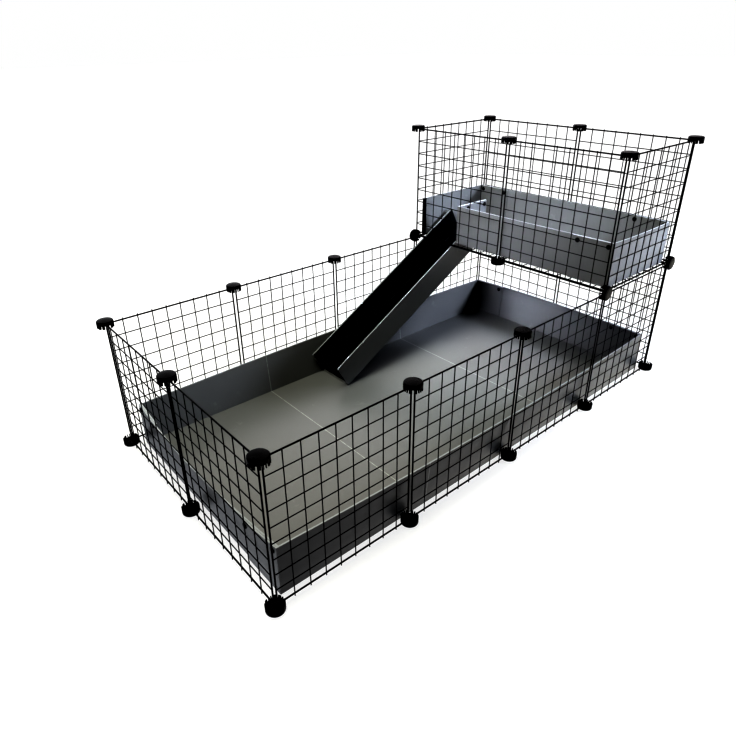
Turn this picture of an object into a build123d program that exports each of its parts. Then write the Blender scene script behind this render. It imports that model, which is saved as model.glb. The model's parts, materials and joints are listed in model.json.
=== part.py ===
from build123d import *
import math
import os

# A two-storey cage for guinea pigs. Square wire panels are held edge to edge by slotted
# round connectors. The ground storey is four panels long and two wide, and the loft stands
# on its last column of panels. A folded plastic tray lies in each storey, and a lined ramp
# leads from the ground tray up through an opening in the loft's floor.
# Sizes are in millimetres. +X runs along the cage to the loft, +Y across it, +Z up.
# The origin is on the floor, under the middle of the ground storey's grid.

# Wire panels
panel_size = 355.0
panel_gap = 11.0
panels_long = 4
panels_wide = 2
frame_wire = 3.6
frame_bend = 9.0
mesh_wire = 2.2
mesh_cells = 9
mesh_overhang = 1.5

# Connectors
connector_radius = 20.8
connector_wall = 5.4
connector_crown = 12.0
connector_rim = 7.0
connector_floor = 1.4
crown_edge = 3.4
crown_rise = 1.2
tooth_tip = 2.4
slot_clearance = 0.4

# Trays
sheet = 4.0
wall_height = 126.0
flap_length = 122.0
flap_gap = 0.3
ground_side_margin = 24.0
ground_foot_margin = 32.0
ground_loft_margin = 26.0
ground_bow = 16.0
loft_side_margin = 11.0
loft_front_margin = 28.0
loft_back_margin = 27.5
loft_bow = 4.5

# Push rivets
rivet_head = 5.0
rivet_shank = 2.6
rivet_head_height = 1.8
rivet_tail_height = 1.3
rivet_play = 0.05
rivet_hole_clearance = 0.1
rivet_edge = 12.0
rivet_fold = 13.0
rivet_flap_end = 16.0

# Ramp
ramp_slope = 30.0
ramp_length = 741.0
ramp_wall = 86.0
ramp_guard_clearance = 2.0
ramp_tray_clearance = 1.5
ramp_end_clearance = 10.0
ramp_bend = 5.0
liner = 1.5
liner_setback = 3.0

# Opening in the loft's floor for the ramp
cut_cells_long = 5
cut_cells_wide = 5
guard_from_side = 166.0
guard_length = 138.0
guard_rivets = (41.0, 125.0)
guard_overlap = 2.0
opening_length = 170.0

# Edge strip on the free end of the loft tray's far wall
far_wall_reach = 5.0
strip_depth = 10.0
strip_wall = 1.3
strip_clearance = 0.1
strip_lift = 1.0

# Places that follow from the sizes above
pitch = panel_size + panel_gap
cell = panel_size / mesh_cells
frame_r = frame_wire / 2
mesh_r = mesh_wire / 2
ground_wire_z = connector_crown
ground_top_z = ground_wire_z + panel_size
loft_wire_z = ground_wire_z + pitch
loft_top_z = loft_wire_z + panel_size
loft_floor_z = ground_top_z + panel_gap / 2
loft_tray_z = loft_floor_z + frame_r + mesh_wire


def grid_x(i):
    return (i - panels_long / 2) * pitch


def grid_y(j):
    return (j - panels_wide / 2) * pitch


loft_i = panels_long - 1


# A welded wire panel lies in its own XY plane. The uprights run along its Y on the outer
# face of the frame, and the cross wires lie against them on the inner side.

def rod(start, end, radius):
    axis = Vector(*end) - Vector(*start)
    base = Plane(origin=start, z_dir=axis)
    return extrude(base * Circle(radius), axis.length)


def panel_frame():
    path = RectangleRounded(panel_size, panel_size, frame_bend).wire()
    section = Plane(origin=path @ 0, z_dir=path % 0) * Circle(frame_r)
    return sweep(section, path=path)


def mesh_line(k):
    return k * cell - panel_size / 2


def wire_panel(cut_long=0, cut_wide=0):
    """The frame and its mesh. A cut panel has no mesh in the corner at low X and high Y."""
    half = panel_size / 2
    upright_z = frame_r + mesh_r
    cross_z = upright_z - mesh_wire
    reach = half + frame_r + mesh_overhang
    open_x = mesh_line(cut_long)
    open_y = mesh_line(mesh_cells - cut_wide)
    wires = [panel_frame()]
    for k in range(1, mesh_cells):
        at = mesh_line(k)
        top = open_y + mesh_r if k < cut_long else reach
        wires.append(rod((at, -reach, upright_z), (at, top, upright_z), mesh_r))
        left = open_x - mesh_r if cut_wide and k > mesh_cells - cut_wide else frame_r - half
        wires.append(rod((left, at, cross_z), (half - frame_r, at, cross_z), mesh_r))
    return wires


plain_panel = wire_panel()
cut_panel = wire_panel(cut_cells_long, cut_cells_wide)


def placed(solids, plane):
    return [plane.location * s for s in solids]


def upright_plane(i, j, z_low, outward):
    """The plane of a standing panel whose low corner is at grid node i, j."""
    along_x = outward in ("near", "far")
    centre = (
        grid_x(i) + (pitch / 2 if along_x else 0),
        grid_y(j) + (0 if along_x else pitch / 2),
        z_low + panel_size / 2,
    )
    x_dir, z_dir = {
        "near": ((1, 0, 0), (0, -1, 0)),
        "far": ((-1, 0, 0), (0, 1, 0)),
        "foot": ((0, -1, 0), (-1, 0, 0)),
        "loft": ((0, 1, 0), (1, 0, 0)),
    }[outward]
    return Plane(origin=centre, x_dir=x_dir, z_dir=z_dir)


# A connector in its own frame: wires lie in the plane Z = 0, the crown is below it and the
# teeth point up to the open side. Three parallel slots face each way, and one each diagonal.

def connector():
    inner = connector_radius - connector_wall
    floor = frame_r + connector_floor
    edge_z = -connector_crown + crown_rise + crown_edge
    with BuildPart() as body:
        with BuildSketch(Plane.XZ):
            with BuildLine():
                bottom = Line((0, -floor), (inner, -floor))
                taper = Line(bottom @ 1, (connector_radius - tooth_tip, connector_rim))
                tip = Line(taper @ 1, (connector_radius, connector_rim))
                side = Line(tip @ 1, (connector_radius, edge_z))
                corner = CenterArc(
                    (connector_radius - crown_edge, edge_z), crown_edge, 0, -90
                )
                crown = Line(corner @ 1, (0, -connector_crown))
                Line(crown @ 1, bottom @ 0)
            make_face()
        revolve(axis=Axis.Z)
    width = frame_wire + slot_clearance
    length = 4 * connector_wall
    height = 2 * connector_rim
    slot = Pos(connector_radius, 0, height / 2 - frame_r) * Box(length, width, height)
    cuts = []
    for turn in range(4):
        for side in (-1, 0, 1):
            cuts.append(Rot(Z=90 * turn) * Pos(0, side * panel_gap / 2, 0) * slot)
        cuts.append(Rot(Z=90 * turn + 45) * slot)
    return body.part - cuts


one_connector = connector()


def connectors(places):
    """Connectors at grid nodes (i, j, z), each with its crown facing the way given."""
    out = []
    for i, j, z, crown in places:
        plane = Plane(origin=(grid_x(i), grid_y(j), z), z_dir=tuple(-c for c in crown))
        out.append(plane.location * one_connector)
    return out


# Trays. The walls of a folded tray bow outwards between its corners, most at the top edge.

def side_line(a, b, bow, z):
    """An edge from a to b at height z that bulges to its right by bow."""
    if bow == 0:
        return Line((*a, z), (*b, z))
    dx, dy = b[0] - a[0], b[1] - a[1]
    length = math.hypot(dx, dy)
    middle = ((a[0] + b[0]) / 2 + bow * dy / length, (a[1] + b[1]) / 2 - bow * dx / length, z)
    return ThreePointArc((*a, z), middle, (*b, z))


def outline(box, outwards, bow, z):
    """The tray's outline at height z, moved outwards by a distance: box is x0, y0, x1, y1."""
    x0, y0, x1, y1 = box
    corners = [(x0, y0), (x1, y0), (x1, y1), (x0, y1)]
    sides = [side_line(corners[n], corners[(n + 1) % 4], bow, z) for n in range(4)]
    face = make_face(Wire(sides))
    if outwards == 0:
        return face
    return offset(face, amount=outwards, kind=Kind.INTERSECTION)


def tray_form(box, outwards, bow, z):
    low = outline(box, outwards, 0, z)
    high = outline(box, outwards, bow, z + wall_height)
    return loft([low, high], ruled=True)


def block(low, high):
    size = [b - a for a, b in zip(low, high)]
    return Pos(*[(a + b) / 2 for a, b in zip(low, high)]) * Box(*size)


def span(a, b):
    return min(a, b), max(a, b)


def folded_tray(box, z, bow, near_ends, far_ends):
    """A tray with its base at z. The near wall's flaps wrap the outside of the end walls in
    near_ends, and the far wall's flaps lie against the inside of the end walls in far_ends."""
    x0, y0, x1, y1 = box
    top = z + wall_height
    step = sheet + flap_gap
    shell = tray_form(box, 0, bow, z)
    inside = tray_form(box, -sheet, bow, z)
    tray = shell - (inside & block((x0, y0 - bow, z + sheet), (x1 + 2 * bow, y1 + bow, top)))
    tray -= inside & block((x0 - 2 * bow, y0 - bow, z + sheet), (x0, y1 + bow, top))
    wrap = tray_form(box, step, bow, z) - tray_form(box, flap_gap, bow, z)
    lining = tray_form(box, -step, bow, z) - tray_form(box, -step - sheet, bow, z)
    for end, x, way in (("foot", x0, -1), ("loft", x1, 1)):
        far_out = x + way * (bow + 2 * step)
        if end in near_ends:
            lo, hi = span(x, far_out)
            tray += wrap & block((lo, y0, z), (hi, y0 + flap_length, top))
            lo, hi = span(x - way * sheet, x + way * step)
            tray += block((lo, y0, z), (hi, y0 + sheet, top))
        if end in far_ends:
            lo, hi = span(x - way * (step + sheet), far_out)
            low = (lo, y1 - flap_length, z + step)
            tray += lining & block(low, (hi, y1 - sheet, top))
            lo, hi = span(x - way * (step + sheet), x - way * step)
            low = (lo, y1 - step - sheet, z + step)
            tray += block(low, (hi, y1 - sheet / 2, top))
    return tray


# A push rivet stands on its own plane at the outer face, with its shank running inwards.

def rivet(grip):
    tail = -grip - 2 * rivet_play
    profile = [
        (0, rivet_head_height),
        (rivet_head * 0.6, rivet_head_height),
        (rivet_head, rivet_head_height * 0.4),
        (rivet_head, 0),
        (rivet_shank, 0),
        (rivet_shank, tail),
        (rivet_head * 0.8, tail),
        (rivet_head * 0.6, tail - rivet_tail_height),
        (0, tail - rivet_tail_height),
    ]
    face = make_face(Plane.XZ * Polyline(*profile, close=True))
    return Pos(0, 0, rivet_play) * revolve(face, axis=Axis.Z)


def rivet_hole(grip):
    radius = rivet_shank + rivet_hole_clearance
    return Pos(0, 0, -grip / 2) * Cylinder(radius, grip * 2)


def bow_at(s, length, bow):
    """How far a wall's top edge bulges at the distance s along it."""
    radius = (length**2 / 4 + bow**2) / (2 * bow)
    return math.sqrt(radius**2 - (s - length / 2) ** 2) - (radius - bow)


def flap_rivets(box, z, bow, end, corner):
    """The planes of a flap's two rivets, on the outer face of the two sheets at one end."""
    x0, y0, x1, y1 = box
    way = 1 if end == "loft" else -1
    x = x1 if end == "loft" else x0
    rise = wall_height - rivet_edge
    share = rise / wall_height
    depth = sheet + flap_gap if corner == "near" else 0
    planes = []
    for s in (rivet_fold, flap_length - rivet_flap_end):
        bulge = bow_at(s, y1 - y0, bow)
        growth = (bow_at(s + 1, y1 - y0, bow) - bulge) * share
        y = y0 + s if corner == "near" else y1 - s
        turn = -growth if corner == "near" else growth
        normal = Vector(way, turn, -bulge / wall_height).normalized()
        face = Vector(x + way * bulge * share, y, z + rise)
        across = Vector(way, turn, 0).normalized()
        planes.append(Plane(origin=face + across * depth, z_dir=normal))
    return planes


grip = 2 * sheet + flap_gap

ground_box = (
    grid_x(0) + ground_foot_margin,
    grid_y(0) + ground_side_margin,
    grid_x(panels_long) - ground_loft_margin,
    grid_y(panels_wide) - ground_side_margin,
)
ground_tray = folded_tray(ground_box, 0, ground_bow, ("foot", "loft"), ("foot", "loft"))
ground_planes = []
for end in ("foot", "loft"):
    for corner in ("near", "far"):
        ground_planes += flap_rivets(ground_box, 0, ground_bow, end, corner)
ground_tray -= [p.location * rivet_hole(grip) for p in ground_planes]
ground_rivets = [p.location * rivet(grip) for p in ground_planes]

# Loft tray: the front wall stops at a guard wall, and the base stops short of the ramp's
# opening. The far wall runs on past it to the front.
loft_box = (
    grid_x(loft_i) + loft_front_margin,
    grid_y(0) + loft_side_margin,
    grid_x(panels_long) - loft_back_margin,
    grid_y(panels_wide) - loft_side_margin,
)
lx0, ly0, lx1, ly1 = loft_box
loft_tray_top = loft_tray_z + wall_height
guard_y = grid_y(panels_wide) - guard_from_side
opening_x = lx0 + opening_length
step = sheet + flap_gap

loft_tray = folded_tray(loft_box, loft_tray_z, loft_bow, ("foot", "loft"), ("loft",))
front_x = lx0 - 2 * step - loft_bow
loft_tray -= block(
    (front_x, guard_y, loft_tray_z), (opening_x, ly1 - sheet, loft_tray_z + sheet)
)
loft_tray -= block(
    (front_x, guard_y - step, loft_tray_z + sheet),
    (lx0 + far_wall_reach + strip_depth, ly1 + loft_bow, loft_tray_top),
)
loft_tray -= block(
    (front_x, ly1 - sheet, loft_tray_z),
    (lx0 + far_wall_reach + strip_depth, ly1 + loft_bow, loft_tray_top),
)
far_end_x = lx0 - far_wall_reach
loft_tray += block(
    (far_end_x, ly1 - sheet, loft_tray_z),
    (lx0 + 2 * strip_depth, ly1, loft_tray_top),
)
loft_form = tray_form(loft_box, 0, loft_bow, loft_tray_z)
loft_tray += loft_form & block(
    (front_x, guard_y - sheet, loft_tray_z),
    (lx0 + guard_length, guard_y, loft_tray_top),
)
loft_tray += loft_form & block(
    (front_x, guard_y - step - sheet, loft_tray_z + step),
    (lx0 + guard_length - guard_overlap, guard_y - step, loft_tray_top),
)
guard_planes = [
    Plane(
        origin=(lx0 + at, guard_y, loft_tray_top - rivet_edge), x_dir=(1, 0, 0), z_dir=(0, 1, 0)
    )
    for at in guard_rivets
]
loft_planes = guard_planes
for end, corner in (("foot", "near"), ("loft", "near"), ("loft", "far")):
    loft_planes = loft_planes + flap_rivets(loft_box, loft_tray_z, loft_bow, end, corner)
loft_tray -= [p.location * rivet_hole(grip) for p in loft_planes]
loft_rivets = [p.location * rivet(grip) for p in loft_planes]

strip_out = strip_clearance + strip_wall
strip = block(
    (far_end_x - strip_out, ly1 - sheet - strip_out, loft_tray_z + strip_lift),
    (far_end_x + strip_depth, ly1 + strip_out, loft_tray_top),
) - block(
    (far_end_x - strip_clearance, ly1 - sheet - strip_clearance, loft_tray_z),
    (far_end_x + 2 * strip_depth, ly1 + strip_clearance, loft_tray_top + strip_lift),
)

# Ramp: a folded channel that stands on the ground tray's base by the edge of its foot.
floor_panel_x = grid_x(loft_i) + pitch / 2 - panel_size / 2
opening_wire_x = floor_panel_x + cut_cells_long * cell - mesh_r
slope = math.radians(ramp_slope)
ramp_foot_x = opening_wire_x - ramp_end_clearance - ramp_length * math.cos(slope)
ramp_near_y = guard_y + ramp_guard_clearance
ramp_far_y = ground_box[3] - sheet - ramp_tray_clearance
ramp_width = ramp_far_y - ramp_near_y
ramp_plane = Plane(
    origin=(ramp_foot_x, (ramp_near_y + ramp_far_y) / 2, sheet),
    x_dir=(math.cos(slope), 0, math.sin(slope)),
    z_dir=(-math.sin(slope), 0, math.cos(slope)),
)


def channel(width, base, height, thick, start, end, bend):
    """A folded channel along the ramp's X, with its underside at base."""
    profile = Pos(0, base + height / 2) * Rectangle(width, height)
    low = profile.vertices().group_by(Axis.Y)[0]
    profile = fillet(low, bend)
    hollow = Pos(0, base + thick + height / 2) * Rectangle(width - 2 * thick, height)
    low = hollow.vertices().group_by(Axis.Y)[0]
    profile -= fillet(low, bend - thick)
    side = Plane(origin=(start, 0, 0), x_dir=(0, 1, 0), z_dir=(1, 0, 0))
    return ramp_plane.location * extrude(side * profile, end - start)


ramp = channel(ramp_width, 0, ramp_wall, sheet, 0, ramp_length, ramp_bend)
liner_width = ramp_width - 2 * sheet
lining = channel(
    liner_width,
    sheet,
    ramp_wall - sheet - liner_setback,
    liner,
    liner_setback,
    ramp_length - liner_setback,
    ramp_bend - sheet + liner,
)

# Every panel with the plane it stands or lies in.
panels = {}
for i in range(panels_long):
    panels[f"ground_panel_near_{i + 1}"] = upright_plane(i, 0, ground_wire_z, "near")
    panels[f"ground_panel_far_{i + 1}"] = upright_plane(i, panels_wide, ground_wire_z, "far")
for j in range(panels_wide):
    panels[f"ground_panel_end_{j + 1}"] = upright_plane(0, j, ground_wire_z, "foot")
    panels[f"ground_panel_loft_end_{j + 1}"] = upright_plane(
        panels_long, j, ground_wire_z, "loft"
    )
    panels[f"loft_panel_front_{j + 1}"] = upright_plane(loft_i, j, loft_wire_z, "foot")
    panels[f"loft_panel_back_{j + 1}"] = upright_plane(panels_long, j, loft_wire_z, "loft")
panels["loft_panel_near"] = upright_plane(loft_i, 0, loft_wire_z, "near")
panels["loft_panel_far"] = upright_plane(loft_i, panels_wide, loft_wire_z, "far")
floor_x = grid_x(loft_i) + pitch / 2
panels["loft_floor_panel"] = Plane(origin=(floor_x, grid_y(0) + pitch / 2, loft_floor_z))
cut_plane = Plane(origin=(floor_x, grid_y(1) + pitch / 2, loft_floor_z))

# Connectors at every node of the grid, each group with the way its crowns face.
down, up = (0, 0, -1), (0, 0, 1)
nearward, farward, outward = (0, -1, 0), (0, 1, 0), (1, 0, 0)
ring = [(i, j) for i in range(panels_long + 1) for j in (0, panels_wide)]
ring += [(0, 1), (panels_long, 1)]
loft_nodes = [(i, j) for i in (loft_i, panels_long) for j in range(panels_wide + 1)]
groups = {
    "foot_connectors": [(i, j, ground_wire_z, down) for i, j in ring],
    "rim_connectors": [(i, j, ground_top_z, up) for i, j in ring if i < loft_i],
    "loft_side_connectors": [
        (i, j, loft_floor_z, farward if j else nearward) for i, j in loft_nodes if j != 1
    ],
    "loft_mid_connectors": [
        (loft_i, 1, loft_floor_z, down),
        (panels_long, 1, loft_floor_z, outward),
    ],
    "loft_top_connectors": [(i, j, loft_top_z, up) for i, j in loft_nodes],
}

nodes = {name: placed(plain_panel, plane) for name, plane in panels.items()}
nodes["loft_floor_panel_cut"] = placed(cut_panel, cut_plane)
for name, places in groups.items():
    nodes[name] = connectors(places)
nodes["ground_tray"] = [ground_tray]
nodes["ground_tray_rivets"] = ground_rivets
nodes["loft_tray"] = [loft_tray]
nodes["loft_tray_rivets"] = loft_rivets
nodes["loft_tray_edge_strip"] = [strip]
nodes["ramp"] = [ramp]
nodes["ramp_liner"] = [lining]

os.makedirs("parts", exist_ok=True)
for name, solids in nodes.items():
    export_step(Compound(children=solids), f"parts/{name}.step")
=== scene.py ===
import json
import math

import bpy
from mathutils import Matrix, Vector

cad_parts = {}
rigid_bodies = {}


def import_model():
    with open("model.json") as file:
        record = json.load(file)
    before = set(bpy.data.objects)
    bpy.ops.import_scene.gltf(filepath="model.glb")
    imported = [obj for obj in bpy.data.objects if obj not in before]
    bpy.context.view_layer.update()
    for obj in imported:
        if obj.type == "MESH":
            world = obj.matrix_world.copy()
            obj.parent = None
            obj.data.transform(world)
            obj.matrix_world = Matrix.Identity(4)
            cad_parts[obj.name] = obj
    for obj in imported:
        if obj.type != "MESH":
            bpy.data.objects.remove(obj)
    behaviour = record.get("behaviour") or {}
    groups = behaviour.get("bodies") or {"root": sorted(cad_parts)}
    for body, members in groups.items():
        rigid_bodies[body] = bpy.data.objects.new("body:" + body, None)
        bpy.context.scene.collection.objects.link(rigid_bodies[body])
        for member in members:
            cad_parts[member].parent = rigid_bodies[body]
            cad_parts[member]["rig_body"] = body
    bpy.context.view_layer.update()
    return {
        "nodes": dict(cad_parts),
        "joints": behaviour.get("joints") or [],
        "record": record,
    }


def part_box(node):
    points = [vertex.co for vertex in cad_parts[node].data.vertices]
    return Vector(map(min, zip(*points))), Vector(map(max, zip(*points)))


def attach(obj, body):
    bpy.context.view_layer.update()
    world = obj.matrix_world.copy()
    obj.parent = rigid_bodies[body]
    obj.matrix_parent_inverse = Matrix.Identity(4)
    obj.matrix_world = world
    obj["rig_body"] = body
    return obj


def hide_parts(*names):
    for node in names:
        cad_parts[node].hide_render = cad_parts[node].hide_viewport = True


# A two-storey cage for guinea pigs: black wire panels in round connectors, folded charcoal
# trays, and a lined ramp to the loft. Lengths are in metres, in the frame of the parts.

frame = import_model()
nodes = frame["nodes"]

mm = 0.001
panel_size = 0.355
frame_wire = 3.6 * mm
mesh_wire = 2.2 * mm
mesh_cells = 9
sheet = 4 * mm
flute_pitch = 4.6 * mm
ramp_slope = math.radians(30)
ramp_length = 0.741
ramp_wall = 0.086
ground_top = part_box("ground_tray")[1].z
loft_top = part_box("loft_tray")[1].z
ramp_low, ramp_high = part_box("ramp")
ramp_foot = Vector(frame["joints"][1]["pos_m"])

# Moulded edges, rivets and welds
smooth_angle = math.radians(35)
merge_reach = 0.01 * mm
connector_edge = 0.45 * mm
rivet_edge = 0.5 * mm
rivets_each = 8
rivet_width = 10 * mm
cap_radius = 7 * mm
cap_edge = 0.6 * mm
head_depth = 2 * mm
tail_depth = 1.5 * mm
cap_proud = 0.2 * mm
bead_radius = 0.62 * mesh_wire
bead_flatness = 0.75

# Where the sheets were creased flat, and the dashes scored along the lining's folds
ground_scores = (-0.291, 0.274)
score_core = 0.6 * mm
score_fade = 1.6 * mm
edge_depth = 0.8 * mm
facing = 0.7
dash_pitch = 14 * mm
dash_half = 4 * mm
dash_row = 0.6 * mm
fold_inset = 5 * mm
fold_height = 8 * mm


# Shader maths. A Value wraps a socket, and arithmetic on it adds Math nodes.

class Value:
    def __init__(self, tree, socket):
        self.tree = tree
        self.socket = socket

    def math(self, operation, *others):
        node = self.tree.nodes.new("ShaderNodeMath")
        node.operation = operation
        for slot, value in zip(node.inputs, (self, *others)):
            feed(self.tree, slot, value)
        return Value(self.tree, node.outputs[0])

    def __add__(self, other):
        return self.math("ADD", other)

    def __sub__(self, other):
        return self.math("SUBTRACT", other)

    def __rsub__(self, other):
        return (self * -1) + other

    def __mul__(self, other):
        return self.math("MULTIPLY", other)

    def __truediv__(self, other):
        return self.math("DIVIDE", other)

    __radd__ = __add__
    __rmul__ = __mul__

    def over(self, edge):
        return self.math("GREATER_THAN", edge)

    def under(self, edge):
        return self.math("LESS_THAN", edge)

    def size(self):
        return self.math("ABSOLUTE")

    def most(self, other):
        return self.math("MAXIMUM", other)

    def wrapped(self, pitch):
        """The distance to the nearest multiple of pitch."""
        return self.math("PINGPONG", pitch / 2)


def feed(tree, slot, value):
    if isinstance(value, Value):
        tree.links.new(value.socket, slot)
    elif isinstance(value, (tuple, list)) and slot.type == "RGBA":
        slot.default_value = (*value, 1)
    else:
        slot.default_value = value


class Finish:
    """A material being mixed, with its main shader's sockets set by name."""

    def __init__(self, name, **plain):
        self.material = bpy.data.materials.new(name)
        self.material.use_nodes = True
        self.tree = self.material.node_tree
        self.shader = self.tree.nodes["Principled BSDF"]
        place = self.node("ShaderNodeTexCoord")
        self.place = Value(self.tree, place.outputs["Object"])
        self.set(**plain)

    def node(self, kind, settings=None, **values):
        node = self.tree.nodes.new(kind)
        for key, value in (settings or {}).items():
            setattr(node, key, value)
        for key, value in values.items():
            feed(self.tree, node.inputs[key.replace("_", " ")], value)
        return node

    def set(self, **values):
        for key, value in values.items():
            feed(self.tree, self.shader.inputs[key.replace("_", " ")], value)

    def parts(self, vector):
        split = self.node("ShaderNodeSeparateXYZ", Vector=vector)
        return [Value(self.tree, out) for out in split.outputs]

    def turned(self, vector, angle, centre=(0, 0, 0)):
        """The vector turned about an axis along Y, counted from centre."""
        moved = self.node("ShaderNodeVectorMath", {"operation": "SUBTRACT"})
        feed(self.tree, moved.inputs[0], vector)
        moved.inputs[1].default_value = centre
        spun = self.node("ShaderNodeVectorRotate", {"rotation_type": "Y_AXIS"},
                         Vector=Value(self.tree, moved.outputs[0]), Angle=angle)
        return Value(self.tree, spun.outputs[0])

    def normal(self):
        shape = self.node("ShaderNodeNewGeometry")
        return Value(self.tree, shape.outputs["Normal"])

    def noise(self, scale, detail=2.0, roughness=0.5):
        cloud = self.node("ShaderNodeTexNoise", Vector=self.place, Scale=scale, Detail=detail,
                          Roughness=roughness)
        return Value(self.tree, cloud.outputs["Fac"])

    def spread(self, value, low, high, to_low=0.0, to_high=1.0):
        ramp = self.node("ShaderNodeMapRange", Value=value, From_Min=low, From_Max=high,
                         To_Min=to_low, To_Max=to_high)
        return Value(self.tree, ramp.outputs[0])

    def blend(self, share, one, other):
        mix = self.node("ShaderNodeMix", {"data_type": "RGBA"})
        feed(self.tree, mix.inputs[0], share)
        colours = [s for s in mix.inputs if s.type == "RGBA"]
        feed(self.tree, colours[0], one)
        feed(self.tree, colours[1], other)
        out = [s for s in mix.outputs if s.type == "RGBA"][0]
        return Value(self.tree, out)

    def relief(self, height, depth, strength=1.0):
        bump = self.node("ShaderNodeBump", Height=height, Distance=depth, Strength=strength)
        self.set(Normal=Value(self.tree, bump.outputs[0]))


def paint(obj, finish):
    obj.data.materials.clear()
    obj.data.materials.append(finish.material)


# Camera at the photograph's place, solved by a separate program from where the connectors lie.
def add_camera():
    data = bpy.data.cameras.new("camera")
    data.sensor_width = 36
    data.lens = 29.53
    data.shift_x = 0.0063
    data.shift_y = -0.0319
    camera = bpy.data.objects.new("camera", data)
    bpy.context.scene.collection.objects.link(camera)
    camera.location = (-1.1230, -1.1138, 1.0013)
    camera.rotation_euler = [math.radians(a) for a in (63.084, 0.775, -40.335)]
    bpy.context.scene.camera = camera


add_camera()


# Finishes

def wire_coat():
    """Black powder coat with a fine peel and a few rubbed, paler stretches."""
    coat = Finish("black_wire_coat", Specular_IOR_Level=0.1)
    peel = coat.noise(900, detail=3)
    worn = coat.spread(coat.noise(35, detail=4), 0.62, 0.75)
    coat.set(Base_Color=coat.blend(worn, (0.003, 0.003, 0.0035), (0.008, 0.008, 0.009)))
    coat.set(Roughness=coat.spread(peel, 0.3, 0.7, 0.34, 0.5))
    coat.relief(peel, 0.0002, 0.35)
    return coat


def connector_plastic():
    """Moulded plastic with a hazy, finely grained skin and hardly any gloss."""
    plastic = Finish("black_moulded_plastic", Specular_IOR_Level=0.05)
    grain = plastic.noise(1600, detail=2)
    haze = plastic.noise(60, detail=4)
    plastic.set(Base_Color=plastic.blend(haze, (0.003, 0.003, 0.0035), (0.008, 0.008, 0.009)))
    plastic.set(Roughness=plastic.spread(haze, 0.35, 0.7, 0.2, 0.36))
    plastic.relief(grain, 0.0001, 0.3)
    return plastic


dark_sheet = (0.108, 0.109, 0.109)
pale_sheet = (0.133, 0.135, 0.134)
# Cut edges: partly the sheet's own paler cut, partly a painted highlight along the edge.
paler_cut_and_highlight = (0.20, 0.21, 0.22)
# Painted shade: near black for the inside of the hollow flutes, which are not modelled.
flute_hole_shade = (0.010, 0.010, 0.011)
scored_sheet = (0.26, 0.265, 0.255)


def sheet_plastic(name, cuts, open_cuts, scores=(), angle=0.0, centre=(0, 0, 0)):
    """Fluted plastic sheet. A cut is an axis and the place along it where the sheet's edge lies; the
    faces of that edge are painted paler, partly the cut sheet's own paler edge and partly a painted
    highlight. An open cut goes across the flutes, whose ends show in it painted near black, a painted
    shade in the hollow flutes. Scores are places along X where the sheet was creased flat for packing."""
    finish = Finish(name, Specular_IOR_Level=0.5)
    place = finish.parts(finish.turned(finish.place, angle, centre))
    face = finish.parts(finish.turned(finish.normal(), angle))
    x, y, z = place
    side = face[1].size().over(facing)
    across = y * (1 - side) + z * side
    flute = across.wrapped(flute_pitch) / (flute_pitch / 2)
    cloud = finish.noise(7, detail=5, roughness=0.6)
    fine = finish.noise(240, detail=3)
    colour = finish.blend(cloud, dark_sheet, pale_sheet)
    rubbed = finish.spread(finish.noise(18, detail=6, roughness=0.7), 0.62, 0.8, 0.0, 0.35)
    colour = finish.blend(rubbed, colour, scored_sheet)
    height = flute * 0.7 + fine * 0.3
    for at in scores:
        line = finish.spread((x - at).size(), score_core, score_fade, 1.0, 0.0)
        dashes = finish.spread(finish.noise(90, detail=2), 0.3, 0.5, 0.45, 1.0)
        colour = finish.blend(line * dashes, colour, scored_sheet)
        height = height - line * 2
    for axis, at in cuts + open_cuts:
        edge = face[axis].size().over(facing) * (place[axis] - at).size().under(edge_depth)
        # The cut edge's faces are painted paler: partly the cut sheet's own paler edge, partly a
        # painted highlight.
        colour = finish.blend(edge, colour, paler_cut_and_highlight)
        if (axis, at) in open_cuts:
            # The flute ends are painted near black, a painted shade inside the hollow flutes.
            colour = finish.blend(edge * flute.over(0.25), colour, flute_hole_shade)
    finish.set(Base_Color=colour)
    finish.set(Roughness=finish.spread(fine + cloud, 0.6, 1.4, 0.30, 0.44))
    finish.relief(height, 0.00012, 0.6)
    return finish


def plain_black(name, tone, low, high):
    black = Finish(name, Specular_IOR_Level=0.2)
    cloud = black.noise(30, detail=4)
    fine = black.noise(900, detail=2)
    deep = (tone, tone, tone * 1.05)
    black.set(Base_Color=black.blend(cloud, deep, tuple(2 * c for c in deep)))
    black.set(Roughness=black.spread(cloud, 0.3, 0.7, low, high))
    black.relief(fine, 0.0001, 0.4)
    return black


def ramp_lining():
    """Black sheet with a faint row of score dashes along each fold."""
    black = Finish("black_ramp_lining", Specular_IOR_Level=0.35)
    x, y, z = black.parts(black.turned(black.place, ramp_slope, ramp_foot))
    cloud = black.noise(24, detail=5)
    fine = black.noise(700, detail=2)
    fold = (ramp_high.y - ramp_low.y) / 2 - sheet - fold_inset
    dash = x.wrapped(dash_pitch).under(dash_half)
    row = (y.size() - fold).size().under(dash_row) * z.under(fold_height)
    colour = black.blend(cloud, (0.004, 0.004, 0.0045), (0.009, 0.009, 0.010))
    black.set(Base_Color=black.blend(row * dash * 0.5, colour, (0.12, 0.12, 0.12)))
    black.set(Roughness=black.spread(cloud, 0.3, 0.7, 0.42, 0.62))
    black.relief(fine, 0.0001, 0.4)
    return black


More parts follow.
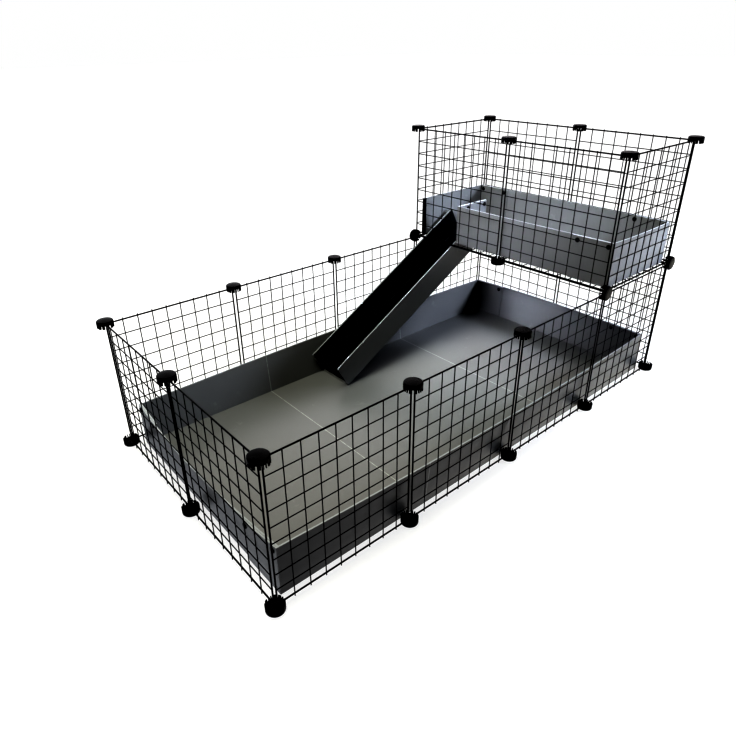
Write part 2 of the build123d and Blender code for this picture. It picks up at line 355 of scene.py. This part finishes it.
wire = wire_coat()
connector = connector_plastic()
ground_sheet = sheet_plastic(
    "charcoal_ground_sheet", [(2, ground_top)], [], scores=ground_scores
)
loft_sheet = sheet_plastic("charcoal_loft_sheet", [(2, loft_top)], [])
ramp_sheet = sheet_plastic(
    "charcoal_ramp_sheet", [(2, ramp_wall)], [(0, 0.0), (0, ramp_length)],
    angle=ramp_slope, centre=ramp_foot,
)
rivet = plain_black("black_rivet_plastic", 0.005, 0.25, 0.45)
trim = plain_black("black_edge_trim", 0.004, 0.3, 0.5)
lining = ramp_lining()

finishes = {"wire": wire, "connector": connector, "rivet": rivet, "trim": trim, "liner": lining}
slots = {p["node"]: p["material_slot"] for p in frame["record"]["subparts"]}
for name, node in nodes.items():
    if slots[name] in finishes:
        paint(node, finishes[slots[name]])
paint(nodes["ground_tray"], ground_sheet)
paint(nodes["loft_tray"], loft_sheet)
paint(nodes["ramp"], ramp_sheet)


# Pieces

def pick(obj):
    bpy.ops.object.select_all(action="DESELECT")
    obj.select_set(True)
    bpy.context.view_layer.objects.active = obj


def apply(obj, kind, **settings):
    pick(obj)
    modifier = obj.modifiers.new(kind.lower(), kind)
    for key, value in settings.items():
        setattr(modifier, key, value)
    bpy.ops.object.modifier_apply(modifier=modifier.name)


def softened(name, width):
    """A copy of a moulded part with its sharp edges rounded as the mould leaves them."""
    node = nodes[name]
    piece = bpy.data.objects.new(name + "_moulded", node.data.copy())
    bpy.context.scene.collection.objects.link(piece)
    pick(piece)
    bpy.ops.object.mode_set(mode="EDIT")
    bpy.ops.mesh.select_all(action="SELECT")
    bpy.ops.mesh.remove_doubles(threshold=merge_reach)
    bpy.ops.mesh.dissolve_limited(angle_limit=math.radians(1))
    bpy.ops.object.mode_set(mode="OBJECT")
    apply(piece, "BEVEL", width=width, segments=2, limit_method="ANGLE",
          angle_limit=smooth_angle, use_clamp_overlap=True)
    pick(piece)
    bpy.ops.object.shade_smooth_by_angle(angle=smooth_angle)
    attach(piece, node["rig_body"])
    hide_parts(name)


for name in nodes:
    if "connectors" in name:
        softened(name, connector_edge)
    elif "rivets" in name:
        softened(name, rivet_edge)


def rivet_boxes(name):
    """The corners of each rivet of a tray. The eight are alike and follow one another."""
    spots = [v.co for v in nodes[name].data.vertices]
    share = len(spots) // rivets_each
    for at in range(0, share * rivets_each, share):
        each = list(zip(*spots[at:at + share]))
        yield Vector([min(c) for c in each]), Vector([max(c) for c in each])


def capped(name):
    """Wide caps over the heads and tails of a tray's push rivets."""
    bpy.ops.object.select_all(action="DESELECT")
    bpy.ops.mesh.primitive_cylinder_add(vertices=24, radius=cap_radius, depth=head_depth)
    cap = bpy.context.object
    apply(cap, "BEVEL", width=cap_edge, segments=3, limit_method="ANGLE")
    tray_low, tray_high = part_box(name.replace("_rivets", ""))
    copies = []
    for low, high in rivet_boxes(name):
        axis = max(range(3), key=lambda a: abs(high[a] - low[a] - rivet_width))
        along = Matrix.Rotation(math.radians(90), 4, "YX"[axis])
        rivet_middle = (low + high) / 2
        tray_middle = (tray_low[axis] + tray_high[axis]) / 2
        for end, inwards in ((low, 1), (high, -1)):
            head = abs(end[axis] - tray_middle) > abs(rivet_middle[axis] - tray_middle)
            depth = head_depth if head else tail_depth
            spot = rivet_middle.copy()
            spot[axis] = end[axis] + inwards * (depth / 2 - cap_proud)
            thinned = Matrix.Diagonal((1, 1, depth / head_depth, 1))
            copy = bpy.data.objects.new("cap", cap.data.copy())
            bpy.context.scene.collection.objects.link(copy)
            copy.data.transform(Matrix.Translation(spot) @ along @ thinned)
            copies.append(copy)
    bpy.data.objects.remove(cap)
    pick(copies[0])
    for copy in copies:
        copy.select_set(True)
    bpy.ops.object.join()
    piece = copies[0]
    piece.name = name + "_caps"
    pick(piece)
    bpy.ops.object.shade_smooth_by_angle(angle=smooth_angle)
    paint(piece, rivet)
    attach(piece, nodes[name]["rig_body"])


capped("ground_tray_rivets")
capped("loft_tray_rivets")

outwards = {"near": (0, -1, 0), "far": (0, 1, 0), "end": (-1, 0, 0), "front": (-1, 0, 0),
            "back": (1, 0, 0), "loft_end": (1, 0, 0), "floor": (0, 0, 1)}


def weld_beads():
    """The small squashed beads where one panel's wires cross, in the panel's own plane."""
    cell = panel_size / mesh_cells
    first = cell - panel_size / 2
    bpy.ops.object.select_all(action="DESELECT")
    bpy.ops.mesh.primitive_uv_sphere_add(segments=8, ring_count=5, radius=bead_radius,
                                         location=(first, first, 0))
    bead = bpy.context.object
    bead.name = "weld_beads"
    bpy.ops.object.mode_set(mode="EDIT")
    bpy.ops.mesh.select_all(action="SELECT")
    bpy.ops.transform.resize(value=(1, 1, bead_flatness))
    bpy.ops.object.mode_set(mode="OBJECT")
    bpy.ops.object.transform_apply(location=True, rotation=True, scale=True)
    for step in ((cell, 0, 0), (0, cell, 0)):
        apply(bead, "ARRAY", count=mesh_cells - 1, use_relative_offset=False,
              use_constant_offset=True, constant_offset_displace=step)
    bpy.ops.object.shade_smooth()
    return bead


def welded(name, bead):
    """A copy of the beads in the place of one panel."""
    key = [k for k in outwards if "_" + k in name]
    out = Vector(outwards[max(key, key=len)])
    low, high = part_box(name)
    middle = (low + high) / 2
    inner = middle - out * abs((high - low).dot(out)) / 2
    touch = inner + out * frame_wire
    up = Vector((0, 1, 0)) if abs(out.z) > 0.5 else Vector((0, 0, 1))
    turn = Matrix((up.cross(out), up, out)).transposed().to_4x4()
    piece = bpy.data.objects.new(name + "_welds", bead.data.copy())
    bpy.context.scene.collection.objects.link(piece)
    piece.data.transform(Matrix.Translation(touch) @ turn)
    paint(piece, wire)
    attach(piece, "cage")


bead = weld_beads()
for name in nodes:
    if slots[name] == "wire" and "cut" not in name:
        welded(name, bead)
bpy.data.objects.remove(bead)


# Stage: a white floor and backdrop for the camera, and a room of soft light for the cage. The floor
# takes the cage's shadow, and its own glow is painted darker near the cage, a painted shade around the
# cage's foot; it throws no light, gloss or shadow on the cage.
def add_floor():
    bpy.ops.object.select_all(action="DESELECT")
    bpy.ops.mesh.primitive_plane_add(size=60, location=(0, 0, 0))
    floor = bpy.context.object
    floor.name = "floor"
    white = Finish("white_floor", Roughness=0.9, Specular_IOR_Level=0.1)
    x, y, z = white.parts(white.place)
    away = white.spread((x * x + y * y * 2).math("SQRT"), 0.7, 1.8)
    # The floor's glow is painted darker near the cage and full white away from it: painted shade
    # around the cage's foot.
    floor_glow_with_painted_shade = white.blend(away, (0.86, 0.86, 0.86), (1.01, 1.01, 1.01))
    white.set(Base_Color=(0.15, 0.15, 0.15), Emission_Color=floor_glow_with_painted_shade, Emission_Strength=1.0)
    paint(floor, white)
    floor.visible_diffuse = False
    floor.visible_glossy = False
    floor.visible_shadow = False


def add_world(sides):
    """Plain white where the camera looks, and for everything else a room that is bright to
    each of the given sides. A side is a direction, how narrow it is, and its light."""
    world = bpy.data.worlds.new("studio")
    bpy.context.scene.world = world
    world.use_nodes = True
    tree = world.node_tree
    room = tree.nodes["Background"]
    seen = tree.nodes.new("ShaderNodeBackground")
    ray = tree.nodes.new("ShaderNodeLightPath")
    towards = tree.nodes.new("ShaderNodeTexCoord").outputs["Generated"]
    light = (0.0, 0.0, 0.0)
    for direction, narrow, colour in sides:
        dot = tree.nodes.new("ShaderNodeVectorMath")
        dot.operation = "DOT_PRODUCT"
        tree.links.new(towards, dot.inputs[0])
        dot.inputs[1].default_value = Vector(direction).normalized()
        lobe = Value(tree, dot.outputs["Value"]).most(0.0).math("POWER", narrow)
        tinted = tree.nodes.new("ShaderNodeVectorMath")
        tinted.operation = "MULTIPLY_ADD"
        feed(tree, tinted.inputs[0], lobe)
        tinted.inputs[1].default_value = colour
        feed(tree, tinted.inputs[2], light)
        light = Value(tree, tinted.outputs[0])
    feed(tree, room.inputs["Color"], light)
    mix = tree.nodes.new("ShaderNodeMixShader")
    feed(tree, mix.inputs[0], Value(tree, ray.outputs["Is Camera Ray"]))
    tree.links.new(room.outputs[0], mix.inputs[1])
    tree.links.new(seen.outputs[0], mix.inputs[2])
    seen.inputs["Color"].default_value = (1, 1, 1, 1)
    tree.links.new(mix.outputs[0], tree.nodes["World Output"].inputs[0])


def add_light(name, place, target, size, power, colour, spread):
    """A soft panel of light. Gloss shows only the room, so no panel glares on the trays."""
    data = bpy.data.lights.new(name, "AREA")
    data.shape = "RECTANGLE"
    data.size, data.size_y = size
    data.energy = power
    data.color = colour
    data.spread = math.radians(spread)
    light = bpy.data.objects.new(name, data)
    bpy.context.scene.collection.objects.link(light)
    light.location = place
    light.rotation_euler = (Vector(target) - Vector(place)).to_track_quat("-Z", "Y").to_euler()
    light.visible_camera = False
    light.visible_glossy = False


add_floor()

# The strengths and colours of these sides and panels, the display's gamma and its black level began as
# a fit to the photograph by a separate program. They were then rounded, and several were changed or
# added.
add_world([
    ((0, 0, -1), 2, (1.5, 1.5, 1.6)),
    ((0, 1, 0.15), 3, (2.6, 2.7, 2.8)),
    ((0.8, -0.35, -0.45), 10, (2.5, 2.4, 2.1)),
    ((0.63, 0.58, 0.52), 10, (2.9, 2.7, 2.7)),
])
add_light("low_panel", (1.35, -0.95, 0.03), (0.6, -0.34, 0.25), (0.9, 0.5), 1.2, (1, 1, 1), 180)
add_light("over_front", (-0.5, 0.1, 1.6), (-0.4, 0, 0), (0.8, 0.8), 52, (1, 0.99, 0.83), 180)
add_light("window", (1.9, -1.6, 1.3), (0.55, 0, 0.45), (0.5, 0.5), 19.5, (0.80, 0.86, 1), 40)
add_light("left_beam", (-1.2, -0.3, 1.6), (0.65, 0.05, 0.45), (0.4, 0.4), 3.9, (0.84, 0.86, 1), 25)
add_light("over_loft", (0.45, 0, 1.6), (0.5, 0, 0.4), (0.3, 0.4), 4.2, (0.85, 0.95, 1), 60)
add_light("under_loft", (-1.3, 0.2, 0.42), (0.7, 0.1, 0.06), (0.2, 0.2), 0.9, (0.88, 0.91, 1), 18)
add_light("low_beam", (1.5, -1.1, 0.25), (0.6, -0.3, 0.1), (0.5, 0.3), 0.9, (0.92, 0.96, 1), 60)
add_light("corner_beam", (-1.5, -0.6, 0.15), (-0.7, -0.25, 0.06), (0.4, 0.3), 1.4, (0.96, 0.98, 1), 60)

# A strong display curve, which deepens the contrast and crushes the darkest tones to black.
# The finishes were chosen under it and look different without it.
view = bpy.context.scene.view_settings
view.view_transform = "Standard"
view.gamma = 0.52
view.use_curve_mapping = True
view.curve_mapping.black_level = (0.028, 0.028, 0.028)
view.curve_mapping.update()
